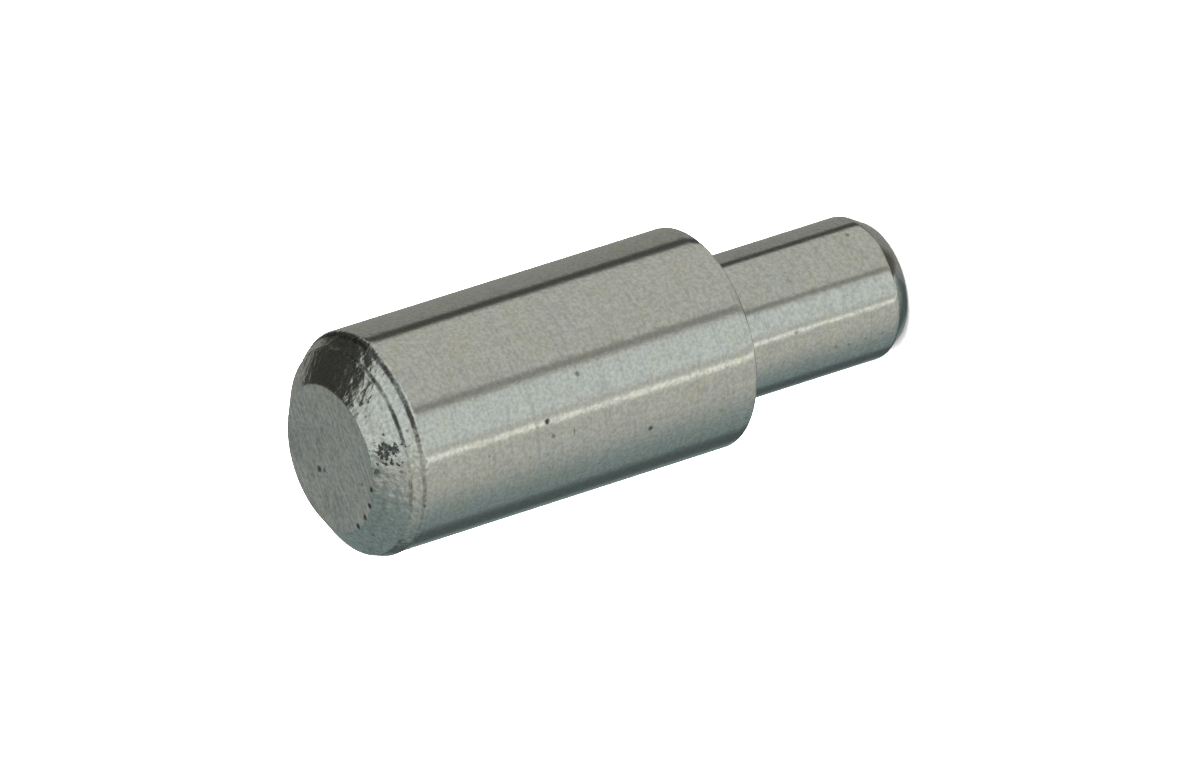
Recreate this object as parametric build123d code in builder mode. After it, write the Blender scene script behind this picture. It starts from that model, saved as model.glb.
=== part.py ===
"""Shelf support pin: one piece of bar steel, turned in two diameters and zinc plated.

The thin end, the plug, is pushed into a drilled hole in a cabinet's side. The thick end, the head, stands
out of the panel and the shelf lies on it. The shoulder between them stops the pin against the panel.

Frame: millimetres, +Z up along the pin's axis. The pin stands on the flat end of its plug, so the origin is
the centre of that flat and the head's bevelled end is on top.
"""

import os
from math import tan, radians

from build123d import *

# Plug, the end that goes into the panel's drilled hole
hole_diameter = 5.0
hole_clearance = 0.1
plug_length = 7.2
tip_bevel_length = 0.7
tip_bevel_angle = 31.0  # between the bevel and the pin's axis, in degrees

# Head, the end that carries the shelf
head_diameter = 7.5
head_length = 14.25

# Head bevel, from the flat end outwards: a steep cone, a narrow ledge left by the forming tool, a shallower
# band, and the run-out into the cylinder. Each has a length along the axis and an angle from it.
cone_length = 0.75
cone_angle = 51.9
ledge_length = 0.08
ledge_angle = 20.0
band_length = 0.22
band_angle = 36.5
run_out_length = 0.24
run_out_angle = 19.0

# Edges that the tool and the plating have rounded
shoulder_edge_radius = 0.1
root_radius = 0.15
tip_edge_radius = 0.12
face_edge_radius = 0.05

plug_diameter = hole_diameter - hole_clearance
plug_radius = plug_diameter / 2
head_radius = head_diameter / 2
total_length = plug_length + head_length


def rise(length, angle):
    """How far a bevel of this length moves away from or towards the axis."""
    return length * tan(radians(angle))


def bevel_corners():
    """The head bevel's corners as (radius, height), from the cylinder up to the flat end."""
    stretches = (
        (run_out_length, run_out_angle),
        (band_length, band_angle),
        (ledge_length, ledge_angle),
        (cone_length, cone_angle),
    )
    radius = head_radius
    height = total_length - sum(length for length, angle in stretches)
    corners = [(radius, height)]
    for length, angle in stretches:
        radius -= rise(length, angle)
        height += length
        corners.append((radius, height))
    return corners


tip_radius = plug_radius - rise(tip_bevel_length, tip_bevel_angle)
head_bevel = bevel_corners()
face_radius = head_bevel[-1][0]

with BuildPart() as support_pin:
    with BuildSketch(Plane.XZ) as half_section:
        with BuildLine():
            Polyline(
                (0, 0),
                (tip_radius, 0),
                (plug_radius, tip_bevel_length),
                (plug_radius, plug_length),
                (head_radius, plug_length),
                *head_bevel,
                (0, total_length),
                close=True,
            )
        make_face()
    revolve(axis=Axis.Z)

    circles = support_pin.edges().filter_by(GeomType.CIRCLE)
    at_shoulder = circles.filter_by_position(Axis.Z, plug_length, plug_length)
    fillet(at_shoulder.sort_by(SortBy.RADIUS)[-1], shoulder_edge_radius)

    circles = support_pin.edges().filter_by(GeomType.CIRCLE)
    at_shoulder = circles.filter_by_position(Axis.Z, plug_length, plug_length)
    fillet(at_shoulder.sort_by(SortBy.RADIUS)[0], root_radius)

    fillet(support_pin.edges().filter_by(GeomType.CIRCLE).group_by(Axis.Z)[0], tip_edge_radius)
    fillet(support_pin.edges().filter_by(GeomType.CIRCLE).group_by(Axis.Z)[-1], face_edge_radius)

support_pin.part.label = "support_pin"

os.makedirs("parts", exist_ok=True)
export_step(support_pin.part, "parts/support_pin.step")

print("plug", plug_diameter, "x", plug_length, "flat", round(2 * tip_radius, 3))
print("head", head_diameter, "x", head_length, "flat", round(2 * face_radius, 3))
print("length", total_length, "volume", round(support_pin.part.volume, 2))
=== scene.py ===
"""Shelf support pin: a stepped pin turned from bar steel and plated with bright zinc.

The pin stands on the flat end of its plug. The camera looks down at the head's bevelled end and is rolled,
so the pin lies across the picture. Lengths are in millimetres until MM turns them into metres.
"""

from __future__ import annotations

import logging
import math
from collections.abc import Callable
from dataclasses import dataclass, field
from enum import Enum

import bmesh
import bpy
from mathutils import Matrix, Vector


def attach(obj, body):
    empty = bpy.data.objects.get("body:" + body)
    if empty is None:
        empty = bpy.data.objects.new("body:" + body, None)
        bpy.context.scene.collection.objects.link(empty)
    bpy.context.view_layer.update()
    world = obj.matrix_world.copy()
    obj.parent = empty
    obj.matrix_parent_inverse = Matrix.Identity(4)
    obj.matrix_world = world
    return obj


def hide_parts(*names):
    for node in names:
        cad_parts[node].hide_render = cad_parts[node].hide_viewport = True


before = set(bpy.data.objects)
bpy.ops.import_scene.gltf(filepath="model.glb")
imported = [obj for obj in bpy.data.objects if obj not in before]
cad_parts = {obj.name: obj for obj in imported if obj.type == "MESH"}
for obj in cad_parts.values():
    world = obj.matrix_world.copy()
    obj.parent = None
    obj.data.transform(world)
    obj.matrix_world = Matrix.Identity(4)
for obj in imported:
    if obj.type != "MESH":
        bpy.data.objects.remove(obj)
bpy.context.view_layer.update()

log = logging.getLogger("support_pin")

Socket = bpy.types.NodeSocket

MM = 0.001
MICROMETRE = 0.001 * MM
PICTURE_WIDTH = 1200
PICTURE_HEIGHT = 783
SENSOR_WIDTH = 36.0

VECTOR = "NodeSocketVector"
NUMBER = "NodeSocketFloat"
WHITE = (1.0, 1.0, 1.0, 1.0)


class Zone(Enum):
    """The stretches of the pin's surface that differ in finish, in the order of their material slots."""

    BARREL = 0
    BEVEL = 1
    CUT_END = 2


@dataclass(frozen=True)
class Ring:
    """One circle of the turned outline, in millimetres.

    Attributes:
        radius: The circle's radius.
        height: Its height above the floor.
        shift: How far its centre is off the pin's axis, along X and Y.
        rounding: Size of the rounding that the circle's edge gets.
    """

    radius: float
    height: float
    shift: tuple[float, float]
    rounding: float

    @property
    def centre(self) -> Vector:
        """The circle's centre, in metres."""
        return Vector((*self.shift, self.height)) * MM


class Graph:
    """A node tree with short ways to add and join its nodes.

    Attributes:
        ONE_INPUT: Operations that read only their first input.
        TO_NUMBER: Operations on vectors that give a number.
    """

    ONE_INPUT = ("SQRT", "ABSOLUTE")
    TO_NUMBER = ("LENGTH", "DOT_PRODUCT")

    def __init__(self, tree: bpy.types.NodeTree) -> None:
        """Keep the tree that the nodes go into."""
        self.tree = tree

    def add(self, kind: str, **settings: object) -> bpy.types.Node:
        """Add a node.

        Args:
            kind: The node's type, such as ShaderNodeMath.
            settings: Attributes to set on the node.

        Returns:
            The new node.
        """
        node = self.tree.nodes.new(kind)
        for name, value in settings.items():
            setattr(node, name, value)
        return node

    def feed(self, socket: Socket, value: object) -> None:
        """Link an output to a socket, or set the socket's own value.

        Args:
            socket: The input socket.
            value: An output socket, a number or a colour.
        """
        if isinstance(value, Socket):
            self.tree.links.new(value, socket)
        else:
            socket.default_value = value

    def math(self, operation: str, first: object, second: object = 0.0, clamp: bool = False) -> Socket:
        """Add a Math node.

        Args:
            operation: The node's operation.
            first: First input, a socket or a number.
            second: Second input, a socket or a number.
            clamp: Whether the result is held between zero and one.

        Returns:
            The node's output.
        """
        node = self.add("ShaderNodeMath", operation=operation, use_clamp=clamp)
        self.feed(node.inputs[0], first)
        if operation not in self.ONE_INPUT:
            self.feed(node.inputs[1], second)
        return node.outputs[0]

    def vector(self, operation: str, first: Socket, second: object = None, label: str = "") -> Socket:
        """Add a Vector Math node.

        Args:
            operation: The node's operation.
            first: First vector.
            second: Second vector, or the factor of SCALE. None where the operation reads only one.
            label: What the node says it is for.

        Returns:
            The node's vector, or its number where the operation gives one.
        """
        node = self.add("ShaderNodeVectorMath", operation=operation, label=label)
        self.feed(node.inputs[0], first)
        if second is not None:
            self.feed(node.inputs["Scale" if operation == "SCALE" else 1], second)
        return node.outputs["Value" if operation in self.TO_NUMBER else "Vector"]

    def split(self, vector: Socket) -> tuple[Socket, Socket, Socket]:
        """Take a vector apart.

        Args:
            vector: The vector.

        Returns:
            Its X, Y and Z.
        """
        node = self.add("ShaderNodeSeparateXYZ")
        self.feed(node.inputs[0], vector)
        return tuple(node.outputs)

    def join(self, *shares: Socket) -> Socket:
        """Put a vector together.

        Args:
            shares: Its X, Y and Z.

        Returns:
            The vector.
        """
        node = self.add("ShaderNodeCombineXYZ")
        for socket, share in zip(node.inputs, shares):
            self.feed(socket, share)
        return node.outputs[0]

    def ramp(
        self, value: object, low: float, high: float, to_low: float = 0.0, to_high: float = 1.0
    ) -> Socket:
        """Add a smooth step from one value to another.

        Args:
            value: The input, a socket or a number.
            low: Where the step starts.
            high: Where it ends.
            to_low: Result at the start.
            to_high: Result at the end.

        Returns:
            The node's output.
        """
        node = self.add("ShaderNodeMapRange", interpolation_type="SMOOTHSTEP")
        for index, item in enumerate((value, low, high, to_low, to_high)):
            self.feed(node.inputs[index], item)
        return node.outputs[0]

    def noise(self, vector: Socket, scale: object, detail: float = 2.0, roughness: float = 0.5) -> Socket:
        """Add a noise texture.

        Args:
            vector: Where the noise is read.
            scale: Waves for each metre, a socket or a number.
            detail: Octaves.
            roughness: Strength of the finer octaves.

        Returns:
            The noise from zero to one.
        """
        node = self.add("ShaderNodeTexNoise")
        self.feed(node.inputs["Vector"], vector)
        self.feed(node.inputs["Scale"], scale)
        self.feed(node.inputs["Detail"], detail)
        self.feed(node.inputs["Roughness"], roughness)
        return node.outputs["Fac"]

    def mix(self, factor: object, first: object, second: object) -> Socket:
        """Mix two colours.

        Args:
            factor: Share of the second colour.
            first: First colour.
            second: Second colour.

        Returns:
            The mixed colour.
        """
        node = self.add("ShaderNodeMix", data_type="RGBA")
        self.feed(node.inputs[0], factor)
        self.feed(node.inputs[6], first)
        self.feed(node.inputs[7], second)
        return node.outputs[2]


def node_group(
    name: str, inputs: dict[str, str], outputs: tuple[str, ...]
) -> tuple[Graph, bpy.types.NodeOutputs, bpy.types.NodeInputs]:
    """Start a shader node group with named sockets.

    Args:
        name: The group's name.
        inputs: Name of each input socket, and its type.
        outputs: Names of the outputs, which are all numbers.

    Returns:
        The group's graph, what comes into it, and what goes out of it.
    """
    tree = bpy.data.node_groups.new(name, "ShaderNodeTree")
    for title, kind in inputs.items():
        tree.interface.new_socket(title, in_out="INPUT", socket_type=kind)
    for title in outputs:
        tree.interface.new_socket(title, in_out="OUTPUT", socket_type=NUMBER)
    graph = Graph(tree)
    return graph, graph.add("NodeGroupInput").outputs, graph.add("NodeGroupOutput").inputs


def shader_of(material: bpy.types.Material) -> bpy.types.Node:
    """Give the shader node that a new material with nodes has."""
    return next(node for node in material.node_tree.nodes if node.type == "BSDF_PRINCIPLED")


@dataclass(frozen=True)
class Mark:
    """A pit, nick or scuff at one place on the pin, in degrees and millimetres.

    Attributes:
        around: Angle round the pin from the camera's side, positive towards the picture's upper edge.
        below: Distance below the head's flat end.
        radius: Its radius.
        out: Distance from the middle of the flat end, for a mark on that end.
        squeeze: How many times shorter it is along the pin's axis than around it.
        strength: How dark it is, from zero to one.
        ragged: How far its rim breaks up. Above about two it falls apart into specks.
    """

    around: float
    below: float
    radius: float
    out: float | None = None
    squeeze: float = 1.0
    strength: float = 0.7
    ragged: float = 0.9


class ZincEffects:
    """The node groups that the pin's finishes share. Scales are in waves for each metre.

    Attributes:
        FINE_ROUGHNESS: Noise roughness of the rings and the stains.
        RING_DRAW: Stretch that makes rings round the pin out of plain noise.
        RING_DETAIL: Octaves in the rings.
        STREAK_STEP: Noise over which a ring turns into a streak.
        GRAIN_SCALE: Scale of the grain.
        GRAIN_ROUGHNESS: Noise roughness of the grain.
        CELL_SCALE: Cells for each metre. A cell has one pit at most.
        CELL_BEND: How far the grain bends the cells, in millimetres.
        BARE_SHARE: Share of the cells without a pit.
        PIT_REACH: Radius of the smallest and the largest pit, in cells.
        PIT_RIM: Start and end of a pit's rim, from its radius, in cells.
        FAINT_SHARE: Share of the pits that are as shallow as FAINT_DEPTH.
        FAINT_DEPTH: Depth of the shallowest pits. The deepest have one.
        WAVE_SCALE: Scale of the slow waves under the grain.
        WAVE_HEIGHT: Height of those waves. The grain's is one.
        STAIN_SCALE: Scale of the stains.
        STAIN_DETAIL: Octaves in the stains.
        STAIN_STEP: Noise over which a stain fades in.
        COOL_SHIFT: How far from the warm stains' noise the cool ones read it, in millimetres.
        RIM_SCALE: Scale of the noise that breaks up a mark's rim.
        RIM_MIDDLE: That noise where the rim stays in its place.
        RIM_STEP: Start and end of the rim, in radii of the mark.
    """

    FINE_ROUGHNESS = 0.6
    RING_DRAW = (0.04, 0.04, 1.0)
    RING_DETAIL = 3.0
    STREAK_STEP = (0.45, 0.75)
    GRAIN_SCALE = 8000.0
    GRAIN_ROUGHNESS = 0.55
    CELL_SCALE = 2400.0
    CELL_BEND = 0.06
    BARE_SHARE = 0.55
    PIT_REACH = (0.02, 0.22)
    PIT_RIM = (-0.08, 0.03)
    FAINT_SHARE = 0.2
    FAINT_DEPTH = 0.15
    WAVE_SCALE = 2200.0
    WAVE_HEIGHT = 2.5
    STAIN_SCALE = 1100.0
    STAIN_DETAIL = 4.0
    STAIN_STEP = (0.5, 0.7)
    COOL_SHIFT = 370.0
    RIM_SCALE = 5500.0
    RIM_MIDDLE = 0.45
    RIM_STEP = (0.45, 1.05)

    def __init__(self) -> None:
        """Build each group once."""
        self.turning = self._turning()
        self.specks = self._specks()
        self.stains = self._stains()
        self.mark = self._mark()

    def _turning(self) -> bpy.types.NodeTree:
        """Fine rings that the lathe tool leaves, read from the height, so they run round the barrel.

        Returns:
            The node group.
        """
        inputs = {"Place": VECTOR, "Pitch": NUMBER}
        graph, given, result = node_group("turning_marks", inputs, ("Height", "Streak"))
        drawn = graph.vector("MULTIPLY", given["Place"], self.RING_DRAW)
        rings = graph.noise(drawn, given["Pitch"], self.RING_DETAIL, self.FINE_ROUGHNESS)
        graph.feed(result["Height"], rings)
        graph.feed(result["Streak"], graph.ramp(rings, *self.STREAK_STEP))
        return graph.tree

    def _specks(self) -> bpy.types.NodeTree:
        """Grain of the plating, with small pits scattered over it.

        Returns:
            The node group.
        """
        graph, given, result = node_group("plating_specks", {"Place": VECTOR}, ("Height", "Grain", "Pit"))
        place = given["Place"]
        grain = graph.noise(place, self.GRAIN_SCALE, roughness=self.GRAIN_ROUGHNESS)
        bend = graph.vector("SCALE", grain.node.outputs["Color"], self.CELL_BEND * MM)
        cells = graph.add("ShaderNodeTexVoronoi")
        graph.feed(cells.inputs["Vector"], graph.vector("ADD", place, bend))
        graph.feed(cells.inputs["Scale"], self.CELL_SCALE)
        size_chance, depth_chance, _ = graph.split(cells.outputs["Color"])
        reach = graph.ramp(size_chance, self.BARE_SHARE, 1.0, *self.PIT_REACH)
        from_rim = graph.math("SUBTRACT", cells.outputs["Distance"], reach)
        inside = graph.ramp(from_rim, *self.PIT_RIM, 1.0, 0.0)
        depth = graph.ramp(depth_chance, self.FAINT_SHARE, 1.0, self.FAINT_DEPTH, 1.0)
        pit = graph.math("MULTIPLY", inside, depth)
        pit = graph.math("MULTIPLY", pit, graph.math("GREATER_THAN", size_chance, self.BARE_SHARE))
        waves = graph.math("MULTIPLY", graph.noise(place, self.WAVE_SCALE), self.WAVE_HEIGHT)
        graph.feed(result["Height"], graph.math("ADD", waves, graph.math("SUBTRACT", grain, pit)))
        graph.feed(result["Grain"], grain)
        graph.feed(result["Pit"], pit)
        return graph.tree

    def _stains(self) -> bpy.types.NodeTree:
        """Soft patches of thicker and thinner plating.

        Returns:
            The node group.
        """
        graph, given, result = node_group("plating_stains", {"Place": VECTOR}, ("Warm", "Cool"))
        for title, shift in (("Warm", 0.0), ("Cool", self.COOL_SHIFT)):
            place = graph.vector("ADD", given["Place"], (shift * MM,) * 3)
            patches = graph.noise(place, self.STAIN_SCALE, self.STAIN_DETAIL, self.FINE_ROUGHNESS)
            graph.feed(result[title], graph.ramp(patches, *self.STAIN_STEP))
        return graph.tree

    def _mark(self) -> bpy.types.NodeTree:
        """One pit or nick with a ragged rim.

        Returns:
            The node group.
        """
        inputs = {"Place": VECTOR, "Middle": VECTOR, "Radius": NUMBER, "Squeeze": NUMBER, "Ragged": NUMBER}
        graph, given, result = node_group("placed_mark", inputs, ("Mask",))
        across, along, up = graph.split(graph.vector("SUBTRACT", given["Place"], given["Middle"]))
        squeezed = graph.join(across, along, graph.math("MULTIPLY", up, given["Squeeze"]))
        share = graph.math("DIVIDE", graph.vector("LENGTH", squeezed), given["Radius"])
        uneven = graph.math("SUBTRACT", graph.noise(given["Place"], self.RIM_SCALE), self.RIM_MIDDLE)
        rim = graph.math("ADD", share, graph.math("MULTIPLY", uneven, given["Ragged"]))
        graph.feed(result["Mask"], graph.ramp(rim, *self.RIM_STEP, 1.0, 0.0))
        return graph.tree


@dataclass(frozen=True)
class ZincFinish:
    """Bright zinc plating over turned steel. Depths are in micrometres.

    Attributes:
        name: The material's name.
        colour: Reflectance of the clean plating.
        roughness: Roughness of the smoothest places.
        rough_spread: How much rougher the dull places are.
        grain_depth: Depth of the grain and of the scattered pits.
        turning_depth: Depth of the turning marks.
        turning_pitch: Waves of the turning marks for each metre.
        mottling: How much the grain changes the metal's brightness.
        pitting: How much the scattered pits darken it.
        marks: The pits and nicks that have a place of their own.
        WARM_STAIN: Share of each colour that a warm stain leaves.
        WARM_STRENGTH: How strong the warm stains are, from zero to one.
        COOL_STAIN: Share of each colour that a cool stain leaves.
        COOL_STRENGTH: How strong the cool stains are, from zero to one.
        DARK_STEP: Grain over which the metal goes from darkest to clean.
        STREAK_SHARE: How strong the turning streaks are. The grain has one.
        DIRT_AND_SHADE_SHARE: Share of the clean metal's reflectance that dirt, and the painted shade in the
            bevel's grooves, leave.
        ROUGH_STEP: Grain over which the metal goes from smooth to dull.
        DIRT_ROUGHNESS: How much rougher dirt is than clean metal.
        MARK_DEPTH: Depth of a mark of full strength.
    """

    WARM_STAIN = (1.0, 0.96, 0.80)
    WARM_STRENGTH = 0.45
    COOL_STAIN = (0.88, 0.95, 1.0)
    COOL_STRENGTH = 0.35
    DARK_STEP = (0.3, 0.7)
    STREAK_SHARE = 0.5
    DIRT_AND_SHADE_SHARE = 0.12
    ROUGH_STEP = (0.35, 0.75)
    DIRT_ROUGHNESS = 0.3
    MARK_DEPTH = 12.0

    name: str
    colour: tuple[float, float, float] = (0.80, 0.81, 0.79)
    roughness: float = 0.07
    rough_spread: float = 0.06
    grain_depth: float = 0.9
    turning_depth: float = 0.2
    turning_pitch: float = 9000.0
    mottling: float = 0.26
    pitting: float = 0.45
    marks: tuple[Mark, ...] = ()

    def build(self, effects: ZincEffects, place_of: Callable[[Mark], Vector]) -> bpy.types.Material:
        """Make the material.

        Args:
            effects: The shared node groups.
            place_of: Gives the middle of a mark, in metres.

        Returns:
            The material.
        """
        material = bpy.data.materials.new(self.name)
        material.use_nodes = True
        graph = Graph(material.node_tree)
        shader = shader_of(material)
        place = graph.add("ShaderNodeTexCoord").outputs["Object"]
        turning = graph.add("ShaderNodeGroup", node_tree=effects.turning)
        specks = graph.add("ShaderNodeGroup", node_tree=effects.specks)
        stains = graph.add("ShaderNodeGroup", node_tree=effects.stains)
        for group in (turning, specks, stains):
            graph.feed(group.inputs["Place"], place)
        turning.inputs["Pitch"].default_value = self.turning_pitch

        grain = graph.ramp(specks.outputs["Grain"], *self.DARK_STEP, self.mottling, 0.0)
        streak = graph.math("MULTIPLY", turning.outputs["Streak"], self.mottling * self.STREAK_SHARE)
        pit = graph.math("MULTIPLY", specks.outputs["Pit"], self.pitting)
        dull = graph.math("ADD", graph.math("ADD", grain, streak), pit)
        # On the bevel this adds painted shade in the grooves.
        dull = self._extra_dullness(graph, place, dull)
        sunk = self._marks(graph, place, effects, place_of)
        dull = graph.math("ADD", dull, sunk, clamp=True)
        # Dark colour of dirt and pits, and of the bevel's painted groove shade.
        dirt_and_shade = self._tinted((self.DIRT_AND_SHADE_SHARE,) * 3)
        graph.feed(shader.inputs["Base Color"], graph.mix(dull, self._stained(graph, stains), dirt_and_shade))

        roughest = self.roughness + self.rough_spread
        rough = graph.ramp(specks.outputs["Grain"], *self.ROUGH_STEP, self.roughness, roughest)
        rougher = graph.math("MULTIPLY", dull, self.DIRT_ROUGHNESS)
        graph.feed(shader.inputs["Roughness"], graph.math("ADD", rough, rougher))
        shader.inputs["Metallic"].default_value = 1.0

        relief = graph.math("MULTIPLY", specks.outputs["Height"], self.grain_depth * MICROMETRE)
        rings = graph.math("MULTIPLY", turning.outputs["Height"], self.turning_depth * MICROMETRE)
        relief = graph.math("ADD", relief, rings)
        relief = graph.math("SUBTRACT", relief, graph.math("MULTIPLY", sunk, self.MARK_DEPTH * MICROMETRE))
        bump = graph.add("ShaderNodeBump")
        bump.inputs["Distance"].default_value = 1.0
        graph.feed(bump.inputs["Height"], self._extra_relief(graph, place, relief))
        graph.feed(shader.inputs["Normal"], bump.outputs["Normal"])
        return material

    def _tinted(self, tint: tuple[float, float, float]) -> tuple[float, ...]:
        """Give the plating's colour with a tint over it."""
        return tuple(value * share for value, share in zip(self.colour, tint)) + (1.0,)

    def _stained(self, graph: Graph, stains: bpy.types.Node) -> Socket:
        """Lay the warm and the cool stains over the clean plating.

        Args:
            graph: The material's graph.
            stains: The node with the stains.

        Returns:
            The colour.
        """
        warm = graph.math("MULTIPLY", stains.outputs["Warm"], self.WARM_STRENGTH)
        cool = graph.math("MULTIPLY", stains.outputs["Cool"], self.COOL_STRENGTH)
        colour = graph.mix(warm, (*self.colour, 1.0), self._tinted(self.WARM_STAIN))
        return graph.mix(cool, colour, self._tinted(self.COOL_STAIN))

    def _marks(
        self, graph: Graph, place: Socket, effects: ZincEffects, place_of: Callable[[Mark], Vector]
    ) -> object:
        """Place the marks, each where it is darker than those before it.

        Args:
            graph: The material's graph.
            place: Object coordinates.
            effects: The shared node groups.
            place_of: Gives the middle of a mark, in metres.

        Returns:
            How deep the marks are, from zero to one.
        """
        sunk: object = 0.0
        for mark in self.marks:
            spot = graph.add("ShaderNodeGroup", node_tree=effects.mark)
            graph.feed(spot.inputs["Place"], place)
            spot.inputs["Middle"].default_value = place_of(mark)
            spot.inputs["Radius"].default_value = mark.radius * MM
            spot.inputs["Squeeze"].default_value = mark.squeeze
            spot.inputs["Ragged"].default_value = mark.ragged
            depth = graph.math("MULTIPLY", spot.outputs["Mask"], mark.strength)
            sunk = graph.math("MAXIMUM", sunk, depth)
        return sunk

    def _extra_dullness(self, graph: Graph, place: Socket, dull: Socket) -> Socket:
        """Add what only this finish darkens. The plain finish adds nothing."""
        return dull

    def _extra_relief(self, graph: Graph, place: Socket, relief: Socket) -> Socket:
        """Add what only this finish raises. The plain finish adds nothing."""
        return relief


@dataclass(frozen=True)
class BevelFinish(ZincFinish):
    """The head's bevel: chatter of the forming tool, and painted shade in the narrow turned grooves,
    faintest towards -X.

    Attributes:
        chatter_depth: Depth of the chatter that runs down the cone, in micrometres.
        reach: Radius of the bevel's foot, in millimetres.
        grooves: Middle height and half width of each groove that gets painted shade, in millimetres.
        PATCH_RISE: How fast the patches of painted groove shade change with height, for each metre.
        PATCH_SCALE: Scale of those patches round the pin.
        PATCH_STEP: Noise over which the painted groove shade goes from faint to strong.
        PATCH_SHADE: Darkness of faint and of strong painted groove shade.
        FAINT_SHADE_PLACE: Where along X the painted groove shade is faintest, in radii of the bevel's foot.
        FAINT_SHADE_SHARE: Share of the painted groove shade that is left there.
        GROOVE_RIM: Start and end of a groove's rim, in half widths.
        CHATTER_RISE: How fast the chatter changes with height, for each metre.
        CHATTER_SCALE: Scale of the chatter round the pin.
        CHATTER_ROUGHNESS: Noise roughness of the chatter.
        DENT_SCALE: Scale of the small dents, in waves for each metre.
        DENT_SHARE: Depth of the dents. The chatter's is one.
    """

    PATCH_RISE = 60.0
    PATCH_SCALE = 2.5
    PATCH_STEP = (0.3, 0.65)
    PATCH_SHADE = (0.3, 0.9)
    FAINT_SHADE_PLACE = -0.8
    FAINT_SHADE_SHARE = 0.3
    GROOVE_RIM = (0.4, 1.2)
    CHATTER_RISE = 400.0
    CHATTER_SCALE = 11.0
    CHATTER_ROUGHNESS = 0.6
    DENT_SCALE = 3200.0
    DENT_SHARE = 1.2

    chatter_depth: float = 26.0
    reach: float = 3.75
    grooves: tuple[tuple[float, float], ...] = ()

    @staticmethod
    def _around(graph: Graph, place: Socket, rise: float) -> Socket:
        """Give a vector that changes round the pin, and slowly along it.

        Args:
            graph: The material's graph.
            place: Object coordinates.
            rise: How much the vector changes for each metre of height.

        Returns:
            The vector.
        """
        *level, height = graph.split(place)
        squares = [graph.math("MULTIPLY", share, share) for share in level]
        radius = graph.math("SQRT", graph.math("ADD", *squares))
        turned = [graph.math("DIVIDE", share, radius) for share in level]
        return graph.join(*turned, graph.math("MULTIPLY", height, rise))

    def _extra_dullness(self, graph: Graph, place: Socket, dull: Socket) -> Socket:
        """Paint shade into the grooves, unevenly round the pin and faintest towards -X.

        Args:
            graph: The material's graph.
            place: Object coordinates.
            dull: Darkness so far.

        Returns:
            Darkness with the painted groove shade.
        """
        across, _, height = graph.split(place)
        patches = graph.noise(self._around(graph, place, self.PATCH_RISE), self.PATCH_SCALE)
        # Painted groove shade: full from X = 0 towards +X, fading to a small share towards -X.
        depth = graph.ramp(across, self.FAINT_SHADE_PLACE * self.reach * MM, 0.0, self.FAINT_SHADE_SHARE, 1.0)
        uneven = graph.math("MULTIPLY", depth, graph.ramp(patches, *self.PATCH_STEP, *self.PATCH_SHADE))
        for middle, half in self.grooves:
            away = graph.math("ABSOLUTE", graph.math("SUBTRACT", height, middle * MM))
            rim = [share * half * MM for share in self.GROOVE_RIM]
            # Painted shade in this groove.
            groove_shade = graph.ramp(away, *rim, 1.0, 0.0)
            dull = graph.math("ADD", dull, graph.math("MULTIPLY", groove_shade, uneven), clamp=True)
        return dull

    def _extra_relief(self, graph: Graph, place: Socket, relief: Socket) -> Socket:
        """Raise the chatter.

        Args:
            graph: The material's graph.
            place: Object coordinates.
            relief: Height so far.

        Returns:
            Height with the chatter.
        """
        around = self._around(graph, place, self.CHATTER_RISE)
        waves = graph.noise(around, self.CHATTER_SCALE, roughness=self.CHATTER_ROUGHNESS)
        dents = graph.noise(place, self.DENT_SCALE, detail=1.0)
        waves = graph.math("ADD", waves, graph.math("MULTIPLY", dents, self.DENT_SHARE))
        return graph.math("ADD", relief, graph.math("MULTIPLY", waves, self.chatter_depth * MICROMETRE))


@dataclass(frozen=True)
class CutEndFinish(ZincFinish):
    """The head's flat end: straight streaks left where the bar was cut off.

    Attributes:
        streak_depth: Depth of the streaks, in micrometres.
        streaking: How much the streaks change the metal's brightness.
        STREAK_DRAW: Stretch that makes streaks along X out of plain noise.
        STREAK_SCALE: Scale of the streaks, in waves for each metre.
        STREAK_DETAIL: Octaves in the streaks.
        STREAK_ROUGHNESS: Noise roughness of the streaks.
        LOW_STEP: Noise over which the metal goes from darkest to clean.
    """

    STREAK_DRAW = (0.12, 1.0, 1.0)
    STREAK_SCALE = 9000.0
    STREAK_DETAIL = 3.0
    STREAK_ROUGHNESS = 0.6
    LOW_STEP = (0.35, 0.68)

    streak_depth: float = 1.2
    streaking: float = 0.22

    def _streaks(self, graph: Graph, place: Socket) -> Socket:
        """Read the streaks, which run along X.

        Args:
            graph: The material's graph.
            place: Object coordinates.

        Returns:
            The streaks from zero to one.
        """
        drawn = graph.vector("MULTIPLY", place, self.STREAK_DRAW)
        return graph.noise(drawn, self.STREAK_SCALE, self.STREAK_DETAIL, self.STREAK_ROUGHNESS)

    def _extra_dullness(self, graph: Graph, place: Socket, dull: Socket) -> Socket:
        """Darken the low side of the streaks.

        Args:
            graph: The material's graph.
            place: Object coordinates.
            dull: Darkness so far.

        Returns:
            Darkness with the streaks.
        """
        low_side = graph.ramp(self._streaks(graph, place), *self.LOW_STEP, self.streaking, 0.0)
        return graph.math("ADD", dull, low_side)

    def _extra_relief(self, graph: Graph, place: Socket, relief: Socket) -> Socket:
        """Raise the streaks.

        Args:
            graph: The material's graph.
            place: Object coordinates.
            relief: Height so far.

        Returns:
            Height with the streaks.
        """
        lift = graph.math("MULTIPLY", self._streaks(graph, place), self.streak_depth * MICROMETRE)
        return graph.math("ADD", relief, lift)


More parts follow.
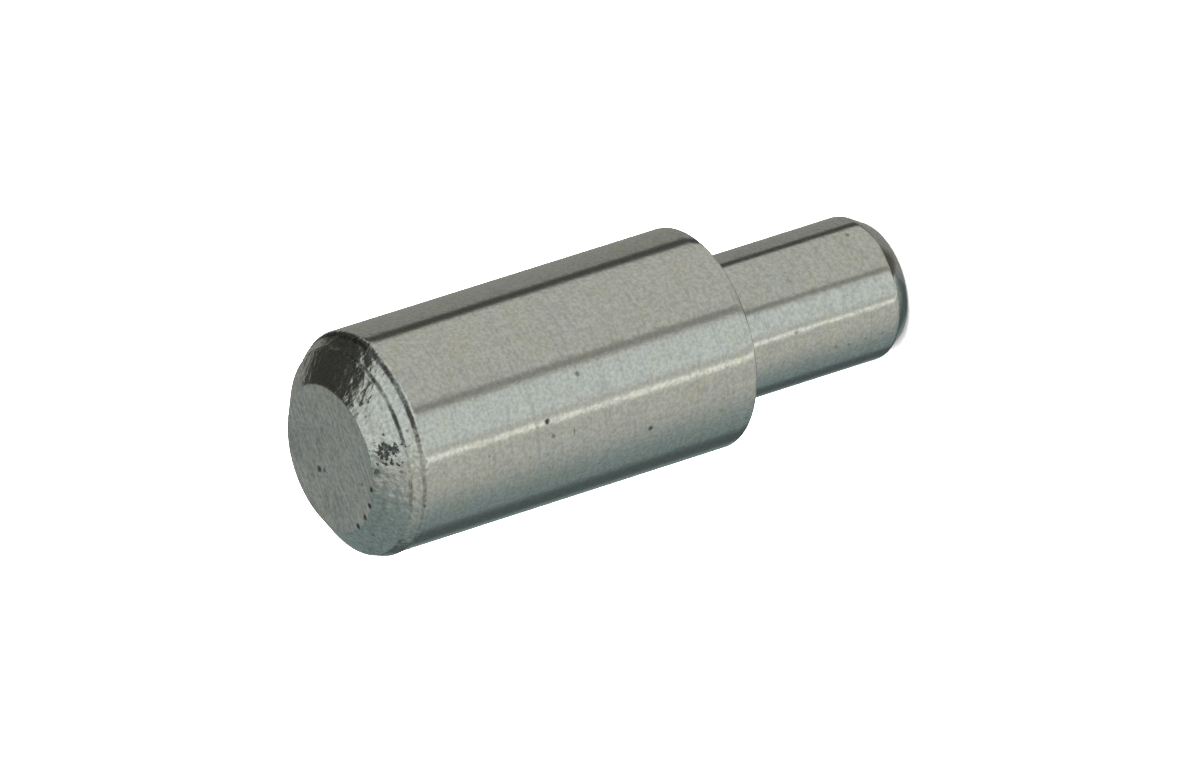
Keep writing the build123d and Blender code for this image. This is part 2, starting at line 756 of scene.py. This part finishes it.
BARREL_MARKS = (
    Mark(around=-18, below=6, radius=0.12),
    Mark(around=0, below=7.5, radius=0.12, strength=0.5),
    Mark(around=-40, below=10, radius=0.12),
    Mark(around=-28, below=7, radius=0.2, squeeze=5, strength=0.4),
)
BEVEL_MARKS = (
    Mark(around=-8, below=0.4, radius=0.5, strength=0.8, ragged=5),
    Mark(around=-20, below=0.1, radius=0.15),
)
END_PIT = Mark(around=-165, below=0, out=0.9, radius=0.16)
RIM_PITS = tuple(Mark(around=-35 - 15 * step, below=0, out=2.4, radius=0.13) for step in range(4))


@dataclass
class SupportPin:
    """The pin itself, turned ring by ring from the plug's flat end to the head's. Lengths in millimetres.

    From the flat end down, the head's bevel is a cone, a ledge, a band and a run-out into the barrel. Each
    stretch of it has a length along the axis and an angle from the axis.

    Attributes:
        plug_shift: How far the plug is off the axis, along X and Y. Each other shift is its stretch's.
        tip_rounding: Rounding of the edge of the plug's flat tip. Each other rounding is that of the edge
            at the end of its stretch, going up from the tip.
        hub_share: Radius of the fan in the middle of a flat end. The end's own radius is one.
        facets: Faces round the pin.
        rounding_steps: Faces across a rounded edge.
        edge_slack: How far off its ring an edge may be and still be rounded with it.
        hold_gaps: Distances from an edge at which rings hold the shading.
        root_gap: Extra distance of those rings at the plug's root.
        plug_first_hold: Height of the first even ring on the plug.
        head_first_hold: Distance from the shoulder to the first even ring on the head.
        hold_step: Distance between even rings.
        plug_holds: Number of even rings on the plug.
        head_holds: Number of even rings on the head.
        merge_distance: Points closer than this are merged.
        zone_margin: How far below the bevel's foot the bevel's finish starts.
        flat_slope: Upright share of the normal above which a face belongs to the flat end.
        effects: The node groups of the finishes.
    """

    plug_radius: float = 2.45
    plug_length: float = 7.2
    plug_shift: tuple[float, float] = (-0.07, 0.0)
    tip_bevel_length: float = 0.7
    tip_bevel_angle: float = 31.0
    head_radius: float = 3.75
    head_length: float = 14.25
    cone_length: float = 0.75
    cone_angle: float = 53.0
    cone_shift: tuple[float, float] = (-0.17, 0.15)
    ledge_length: float = 0.10
    ledge_angle: float = 20.0
    band_length: float = 0.29
    band_angle: float = 33.9
    band_shift: tuple[float, float] = (-0.08, 0.07)
    run_out_length: float = 0.15
    run_out_angle: float = 16.0
    tip_rounding: float = 0.12
    tip_bevel_rounding: float = 0.08
    root_rounding: float = 0.12
    shoulder_rounding: float = 0.10
    head_rounding: float = 0.05
    run_out_rounding: float = 0.04
    band_rounding: float = 0.03
    ledge_rounding: float = 0.045
    cone_rounding: float = 0.05
    hub_share: float = 0.3
    facets: int = 256
    rounding_steps: int = 4
    edge_slack: float = 0.004
    hold_gaps: tuple[float, ...] = (0.12, 0.18)
    root_gap: float = 0.05
    plug_first_hold: float = 1.0
    head_first_hold: float = 0.4
    hold_step: float = 0.5
    plug_holds: int = 12
    head_holds: int = 25
    merge_distance: float = 0.001
    zone_margin: float = 0.05
    flat_slope: float = 0.9
    effects: ZincEffects = field(default_factory=ZincEffects)

    @property
    def length(self) -> float:
        """Whole length of the pin."""
        return self.plug_length + self.head_length

    @property
    def bevel_length(self) -> float:
        """Length of the head's bevel along the axis."""
        return self.cone_length + self.ledge_length + self.band_length + self.run_out_length

    @property
    def bevel_foot(self) -> float:
        """Height at which the head's bevel starts."""
        return self.length - self.bevel_length

    def place_of(self, mark: Mark) -> Vector:
        """Work out where a mark is.

        Args:
            mark: The mark.

        Returns:
            Its middle, in metres.
        """
        on_bevel = mark.below < self.cone_length
        out = mark.out
        if out is None and on_bevel:
            end_radius = self.outline()[-1].radius
            out = end_radius + mark.below * math.tan(math.radians(self.cone_angle))
        elif out is None:
            out = self.head_radius
        turn = math.radians(mark.around)
        shift = self.cone_shift if on_bevel else (0.0, 0.0)
        across = shift[0] + out * math.sin(turn)
        along = shift[1] - out * math.cos(turn)
        return Vector((across, along, self.length - mark.below)) * MM

    def outline(self) -> list[Ring]:
        """Work out the corners of the outline, from the plug's flat end to the head's.

        Returns:
            The rings in turning order.
        """
        tip_radius = self.plug_radius - self.tip_bevel_length * math.tan(math.radians(self.tip_bevel_angle))
        centred = (0.0, 0.0)
        rings = [
            Ring(tip_radius, 0.0, self.plug_shift, self.tip_rounding),
            Ring(self.plug_radius, self.tip_bevel_length, self.plug_shift, self.tip_bevel_rounding),
            Ring(self.plug_radius, self.plug_length, self.plug_shift, self.root_rounding),
            Ring(self.head_radius, self.plug_length, centred, self.shoulder_rounding),
            Ring(self.head_radius, self.bevel_foot, centred, self.head_rounding),
        ]
        stretches = (
            (self.run_out_length, self.run_out_angle, self.band_shift, self.run_out_rounding),
            (self.band_length, self.band_angle, self.cone_shift, self.band_rounding),
            (self.ledge_length, self.ledge_angle, self.cone_shift, self.ledge_rounding),
            (self.cone_length, self.cone_angle, self.cone_shift, self.cone_rounding),
        )
        radius = self.head_radius
        height = self.bevel_foot
        for length, angle, shift, rounding in stretches:
            radius -= length * math.tan(math.radians(angle))
            height += length
            rings.append(Ring(radius, height, shift, rounding))
        return rings

    def build(self) -> bpy.types.Object:
        """Turn the pin, round its edges, dress it and hand it to the frame.

        Returns:
            The finished piece.
        """
        rings = self.outline()
        pin = self._start(rings[0])
        for earlier, ring in zip(rings, rings[1:]):
            self._grow(earlier.centre, ring.centre, ring.radius / earlier.radius)
        self._close_end(rings[-1])
        for ring in rings:
            self._round_edge(ring)
        self._hold_long_faces()
        bpy.ops.mesh.select_all(action="SELECT")
        bpy.ops.mesh.remove_doubles(threshold=self.merge_distance * MM)
        bpy.ops.mesh.normals_make_consistent(inside=False)
        self._dress(pin)
        bpy.ops.object.mode_set(mode="OBJECT")
        bpy.ops.object.shade_smooth()
        bpy.ops.object.transform_apply(location=True, rotation=True, scale=True)
        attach(pin, "root")
        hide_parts("support_pin")
        return pin

    def _start(self, ring: Ring) -> bpy.types.Object:
        """Add the plug's flat end as a disc and open it for editing.

        Args:
            ring: The disc's rim.

        Returns:
            The object that the pin grows from.
        """
        bpy.ops.object.select_all(action="DESELECT")
        bpy.ops.mesh.primitive_circle_add(
            vertices=self.facets,
            radius=self.hub_share * ring.radius * MM,
            fill_type="TRIFAN",
            location=ring.centre,
        )
        pin = bpy.context.object
        pin.name = "turned_pin"
        pin.data.name = "turned_pin"
        bpy.ops.object.transform_apply(location=True, rotation=False, scale=False)
        bpy.ops.object.mode_set(mode="EDIT")
        bpy.ops.mesh.select_mode(type="EDGE")
        bpy.ops.mesh.select_all(action="DESELECT")
        self._select_edges(lambda edge: edge.is_boundary)
        self._grow(ring.centre, ring.centre, 1 / self.hub_share)
        return pin

    @staticmethod
    def _grow(centre: Vector, next_centre: Vector, widen: float) -> None:
        """Extrude the selected rim to its next place and widen it about its own centre.

        Args:
            centre: The rim's centre, in metres.
            next_centre: Where the new rim's centre goes, in metres.
            widen: Factor on its radius.
        """
        bpy.ops.mesh.extrude_edges_move(TRANSFORM_OT_translate={"value": next_centre - centre})
        bpy.ops.transform.resize(value=(widen, widen, 1), center_override=next_centre)

    def _close_end(self, ring: Ring) -> None:
        """Close the head's flat end with an inner ring and a fan.

        Args:
            ring: The end's rim.
        """
        self._grow(ring.centre, ring.centre, self.hub_share)
        bpy.ops.mesh.edge_face_add()
        bpy.ops.mesh.poke()

    def _round_edge(self, ring: Ring) -> None:
        """Bevel one ring's edge.

        Args:
            ring: The ring to round.
        """
        centre = ring.centre
        slack = self.edge_slack * MM

        def on_ring(edge: bmesh.types.BMEdge) -> bool:
            """Tell whether both ends of an edge lie on the ring."""
            return all(
                abs(vert.co.z - centre.z) < slack
                and abs((vert.co.xy - centre.xy).length - ring.radius * MM) < slack
                for vert in edge.verts
            )

        bpy.ops.mesh.select_all(action="DESELECT")
        self._select_edges(on_ring)
        bpy.ops.mesh.bevel(
            offset=ring.rounding * MM, segments=self.rounding_steps, affect="EDGES", clamp_overlap=True
        )

    def _hold_long_faces(self) -> None:
        """Cut rings across the long faces, so that their shading stays true up to the rounded edges."""
        shoulder = self.plug_length
        heights = [self.tip_bevel_length + gap for gap in self.hold_gaps]
        heights += [shoulder - self.root_gap - gap for gap in self.hold_gaps]
        heights += [shoulder + gap for gap in self.hold_gaps]
        heights += [self.bevel_foot - gap for gap in self.hold_gaps]
        heights += [self.plug_first_hold + self.hold_step * count for count in range(self.plug_holds)]
        heights += [
            shoulder + self.head_first_hold + self.hold_step * count for count in range(self.head_holds)
        ]
        for height in heights:
            bpy.ops.mesh.select_all(action="SELECT")
            bpy.ops.mesh.bisect(plane_co=(0, 0, height * MM), plane_no=(0, 0, 1))

    def _dress(self, pin: bpy.types.Object) -> None:
        """Give each zone of the surface its finish.

        Args:
            pin: The piece, in edit mode.
        """
        ledge_foot = self.length - self.cone_length - self.ledge_length
        # Places of the painted groove shade: the ledge's middle, and near the top of the run-out.
        ledge_groove = (ledge_foot + 0.5 * self.ledge_length, 0.7 * self.ledge_length)
        run_out_groove = (self.bevel_foot + 0.8 * self.run_out_length, 0.5 * self.run_out_length)
        finishes = {
            Zone.BARREL: ZincFinish("zinc_barrel", marks=BARREL_MARKS),
            Zone.BEVEL: BevelFinish(
                "zinc_bevel",
                roughness=0.12,
                grain_depth=2.0,
                mottling=0.34,
                marks=BEVEL_MARKS,
                reach=self.head_radius,
                grooves=(ledge_groove, run_out_groove),
            ),
            Zone.CUT_END: CutEndFinish(
                "zinc_cut_end",
                roughness=0.22,
                turning_depth=0.0,
                marks=(END_PIT, *RIM_PITS),
            ),
        }
        for zone in Zone:
            pin.data.materials.append(finishes[zone].build(self.effects, self.place_of))
        bevel_start = (self.bevel_foot - self.zone_margin) * MM
        shape = bmesh.from_edit_mesh(pin.data)
        for face in shape.faces:
            centre = face.calc_center_median()
            if face.normal.z > self.flat_slope and centre.z > bevel_start:
                face.material_index = Zone.CUT_END.value
            elif centre.z > bevel_start:
                face.material_index = Zone.BEVEL.value
            else:
                face.material_index = Zone.BARREL.value
        bmesh.update_edit_mesh(pin.data)

    @staticmethod
    def _select_edges(wanted: Callable[[bmesh.types.BMEdge], bool]) -> None:
        """Select the edges of the mesh being edited that pass a test.

        Args:
            wanted: The test.
        """
        mesh = bpy.context.object.data
        shape = bmesh.from_edit_mesh(mesh)
        for edge in shape.edges:
            if wanted(edge):
                edge.select = True
        bmesh.update_edit_mesh(mesh)


class Tint(Enum):
    """The tints of the studio's light."""

    WARM = (1.0, 1.0, 0.90)
    SKY = (0.94, 1.0, 0.95)
    SHADE = (0.78, 1.0, 0.98)


@dataclass(frozen=True)
class Panel:
    """A soft panel or a dark card that stands round the pin. Only the pin's reflections show it.

    Attributes:
        name: What it is.
        azimuth: Degrees round the pin from the camera's side, positive towards the picture's upper edge.
        half_width: Half its width, in degrees.
        fade: How many degrees its side edges fade over.
        level: Its brightness. White paper is one.
        tint: Its tint.
        low: Sine of the elevation of its lower edge.
        high: Sine of the elevation of its upper edge.
    """

    name: str
    azimuth: float
    half_width: float
    fade: float
    level: float
    tint: Tint = Tint.WARM
    low: float = -1.2
    high: float = 1.2


@dataclass
class Studio:
    """Pale floor, soft surround and soft key light.

    Attributes:
        room_level: Brightness of the room between the panels. White paper is one.
        edge_fade: How much sine of elevation a panel's upper and lower edges fade over.
        floor_size: Side of the floor, in millimetres.
        floor_colour: Reflectance of the floor.
        key_place: Where the key light hangs, in metres. It faces the origin.
        key_size: Side of the key light, in metres.
        key_power: Power of the key light, in watts.
        panels: The panels, each in front of those named before it.
    """

    room_level: float = 0.50
    edge_fade: float = 0.08
    floor_size: float = 2000.0
    floor_colour: tuple[float, ...] = (0.9, 0.9, 0.9, 1.0)
    key_place: tuple[float, float, float] = (0.12, -0.05, 0.4)
    key_size: float = 0.6
    key_power: float = 16.0
    panels: tuple[Panel, ...] = (
        Panel("far_wall", -150, 20, 75, 0.25, Tint.SHADE),
        Panel("far_card", -140, 3, 18, 0.10, Tint.SHADE, high=0.0),
        Panel("back_wall", 150, 30, 10, 0.27, high=0.0),
        Panel("edge_card", 110, 4, 4, 0.05, high=0.0),
        Panel("front_softbox", -10, 15, 4, 0.65, Tint.SKY, high=0.2),
        Panel("bright_strip", -37, 1.5, 2, 1.0, high=0.2),
        Panel("softbox_seam", 14, 2, 3, 0.25, high=0.2),
        Panel("top_softbox", 30, 45, 35, 0.70, Tint.SKY, low=0.3),
        Panel("black_card", 125, 27, 10, 0.04, low=0.05, high=0.85),
        Panel("end_card", 180, 15, 12, 0.33, Tint.SKY, low=0.2, high=0.8),
        Panel("floor_card", 60, 65, 25, 0.08, high=-0.98),
    )

    def build(self) -> None:
        """Make the floor, the surround and the key light."""
        self._floor()
        self._surround()
        self._key()

    def _floor(self) -> None:
        """Lay the pale floor that the pin stands on."""
        bpy.ops.object.select_all(action="DESELECT")
        bpy.ops.mesh.primitive_plane_add(size=self.floor_size * MM, location=(0, 0, 0))
        floor = bpy.context.object
        floor.name = "studio_floor"
        material = bpy.data.materials.new("pale_floor")
        material.use_nodes = True
        shader = shader_of(material)
        shader.inputs["Base Color"].default_value = self.floor_colour
        shader.inputs["Roughness"].default_value = 1.0
        shader.inputs["Specular IOR Level"].default_value = 0.0
        floor.data.materials.append(material)
        floor.visible_glossy = False
        floor.visible_shadow = False

    def _cover(self, graph: Graph, sideways: Socket, height: Socket, panel: Panel) -> Socket:
        """Work out where a panel is seen.

        Args:
            graph: The world's graph.
            sideways: The level part of the direction, at length one.
            height: Sine of the direction's elevation.
            panel: The panel.

        Returns:
            One on the panel and zero beside it.
        """
        turn = math.radians(panel.azimuth)
        facing = (math.sin(turn), -math.cos(turn), 0.0)
        toward = graph.vector("DOT_PRODUCT", sideways, facing, label=panel.name)
        outer = math.cos(math.radians(panel.half_width + panel.fade))
        inner = math.cos(math.radians(panel.half_width))
        across = graph.ramp(toward, outer, inner)
        bottom = graph.ramp(height, panel.low - self.edge_fade, panel.low)
        top = graph.ramp(height, panel.high, panel.high + self.edge_fade, 1.0, 0.0)
        return graph.math("MULTIPLY", across, graph.math("MULTIPLY", bottom, top))

    @staticmethod
    def _light(level: float, tint: Tint) -> tuple[float, float, float, float]:
        """Give the colour of light of one level and tint."""
        return tuple(level * share for share in tint.value) + (1.0,)

    def _surround(self) -> None:
        """Stand the panels round the pin for its reflections, with plain white light for all else."""
        world = bpy.data.worlds.new("soft_surround")
        bpy.context.scene.world = world
        world.use_nodes = True
        graph = Graph(world.node_tree)
        world.node_tree.nodes.clear()
        view = graph.add("ShaderNodeTexCoord").outputs["Generated"]
        _, _, height = graph.split(view)
        sideways = graph.vector("NORMALIZE", graph.vector("MULTIPLY", view, (1.0, 1.0, 0.0)))
        room: object = self._light(self.room_level, Tint.WARM)
        for panel in self.panels:
            cover = self._cover(graph, sideways, height, panel)
            room = graph.mix(cover, room, self._light(panel.level, panel.tint))
        glossy = graph.add("ShaderNodeLightPath").outputs["Is Glossy Ray"]
        colour = graph.mix(glossy, WHITE, room)
        background = graph.add("ShaderNodeBackground")
        graph.feed(background.inputs["Color"], colour)
        background.inputs["Strength"].default_value = 1.0
        output = graph.add("ShaderNodeOutputWorld")
        graph.feed(output.inputs[0], background.outputs[0])

    def _key(self) -> None:
        """Hang a large soft light over the pin for the floor's brightness."""
        bpy.ops.object.light_add(type="AREA", location=self.key_place)
        key = bpy.context.object
        key.name = "overhead_softbox"
        key.data.size = self.key_size
        key.data.energy = self.key_power
        key.visible_glossy = False
        key.rotation_euler = Vector(self.key_place).to_track_quat("Z", "Y").to_euler()


@dataclass
class PhotoCamera:
    """Camera at the photograph's viewing angle.

    Attributes:
        elevation: Degrees of the line of sight above the floor.
        roll: Degrees by which the pin's axis rises to the right in the picture.
        distance: From the head's flat end, in millimetres.
        scale: Pixels for each millimetre at the head's flat end.
        end_pixel: Where the middle of the head's flat end is in the picture.
    """

    elevation: float = 30.25
    roll: float = 17.69
    distance: float = 600.0
    scale: float = 30.967
    end_pixel: tuple[float, float] = (330.4, 452.6)

    def build(self, end_height: float) -> None:
        """Make the camera.

        Args:
            end_height: Height of the head's flat end, in millimetres.
        """
        climb = math.radians(self.elevation)
        tilt = math.radians(180 - self.roll)
        back = Vector((0, -math.cos(climb), math.sin(climb)))
        upward = Vector((0, math.sin(climb), math.cos(climb)))
        aside = back.cross(upward)
        right = math.cos(tilt) * upward + math.sin(tilt) * aside
        up = back.cross(right)
        across = (self.end_pixel[0] - PICTURE_WIDTH / 2) / self.scale
        along = (PICTURE_HEIGHT / 2 - self.end_pixel[1]) / self.scale
        end = Vector((0, 0, end_height))
        place = end - across * right - along * up + self.distance * back

        bpy.ops.object.camera_add()
        camera = bpy.context.object
        camera.name = "photo_camera"
        turn = Matrix((right, up, back)).transposed().to_4x4()
        camera.matrix_world = Matrix.Translation(place * MM) @ turn
        camera.data.sensor_width = SENSOR_WIDTH
        camera.data.lens = self.scale * self.distance * SENSOR_WIDTH / PICTURE_WIDTH
        camera.data.clip_start = 0.01
        camera.data.clip_end = 10.0
        bpy.context.scene.camera = camera


def main() -> None:
    """Build the pin, the studio and the camera."""
    logging.basicConfig(level=logging.INFO)
    pin = SupportPin()
    piece = pin.build()
    log.info("%s: %d faces", piece.name, len(piece.data.polygons))
    Studio().build()
    PhotoCamera().build(pin.length)
    bpy.context.scene.view_settings.view_transform = "Standard"


if __name__ == "__main__":
    main()
